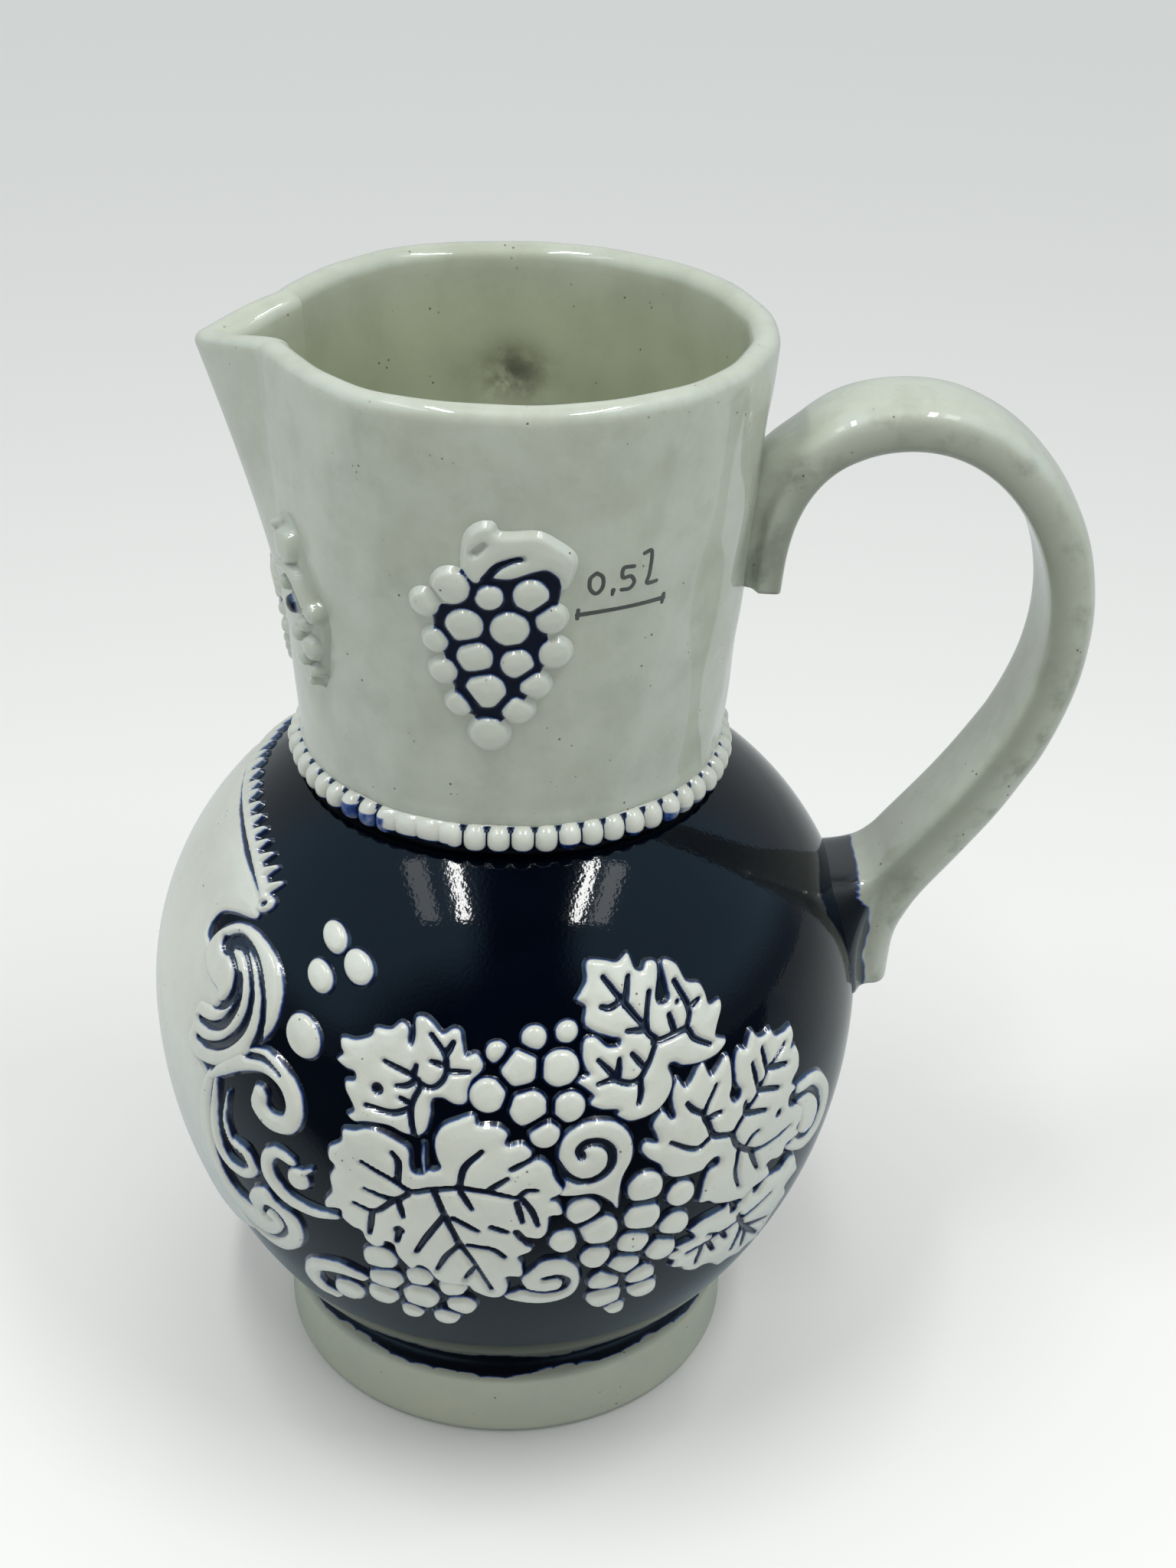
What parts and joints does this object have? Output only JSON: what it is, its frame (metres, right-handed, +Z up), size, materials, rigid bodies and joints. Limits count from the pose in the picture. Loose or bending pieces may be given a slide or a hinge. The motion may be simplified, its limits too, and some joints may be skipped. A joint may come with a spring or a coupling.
{
  "type": "wine jug",
  "caption": "Round-bellied stoneware wine jug with a flaring neck, a pinched pouring spout, a strap handle and applied vine, grape and scroll relief on dark cobalt glaze.",
  "frame": {"origin": "centre of the foot on the table", "axes": "+Z up the jug's axis, -X towards the spout, +X towards the handle, -Y the side in the picture"},
  "size_m": [0.1308, 0.105, 0.161],
  "materials": {
    "stoneware": "semi-gloss pale grey glaze",
    "bare_foot": "matte pale grey clay",
    "cobalt_glaze": "high-gloss near-black cobalt glaze",
    "relief_slip": "glossy off-white relief with blue in its hollows"
  },
  "bodies": {
    "root": {"foot": "bare_foot", "belly_shell": "cobalt_glaze", "neck_with_spout": "stoneware", "bead_collar": "relief_slip", "handle": "stoneware", "neck_grapes_left": "relief_slip", "neck_grapes_right": "relief_slip", "neck_grapes_front": "relief_slip", "neck_tuft_left": "relief_slip", "neck_tuft_right": "relief_slip", "leaf_large_left": "relief_slip", "leaf_large_right": "relief_slip", "leaf_right_left": "relief_slip", "leaf_right_right": "relief_slip", "leaf_top_left": "relief_slip", "leaf_top_right": "relief_slip", "leaf_left_left": "relief_slip", "leaf_left_right": "relief_slip", "leaf_low_left": "relief_slip", "leaf_low_right": "relief_slip", "tendril_middle_left": "relief_slip", "tendril_middle_right": "relief_slip", "tendril_low_left": "relief_slip", "tendril_low_right": "relief_slip", "tendril_right_left": "relief_slip", "tendril_right_right": "relief_slip", "curl_upper_left": "relief_slip", "curl_upper_right": "relief_slip", "curl_low_left": "relief_slip", "curl_low_right": "relief_slip", "scroll_upper_left": "relief_slip", "scroll_upper_right": "relief_slip", "scroll_middle_left": "relief_slip", "scroll_middle_right": "relief_slip", "scroll_lower_left": "relief_slip", "scroll_lower_right": "relief_slip", "scroll_hook_left": "relief_slip", "scroll_hook_right": "relief_slip", "grapes_top_left": "relief_slip", "grapes_top_right": "relief_slip", "grapes_right_left": "relief_slip", "grapes_right_right": "relief_slip", "grapes_low_left": "relief_slip", "grapes_low_right": "relief_slip", "berry_single_left": "relief_slip", "berry_single_right": "relief_slip", "berry_trio_high_left": "relief_slip", "berry_trio_high_right": "relief_slip", "berry_trio_near_left": "relief_slip", "berry_trio_near_right": "relief_slip", "berry_trio_low_left": "relief_slip", "berry_trio_low_right": "relief_slip", "panel_border": "relief_slip", "front_panel": "relief_slip"}
  },
  "joints": []
}
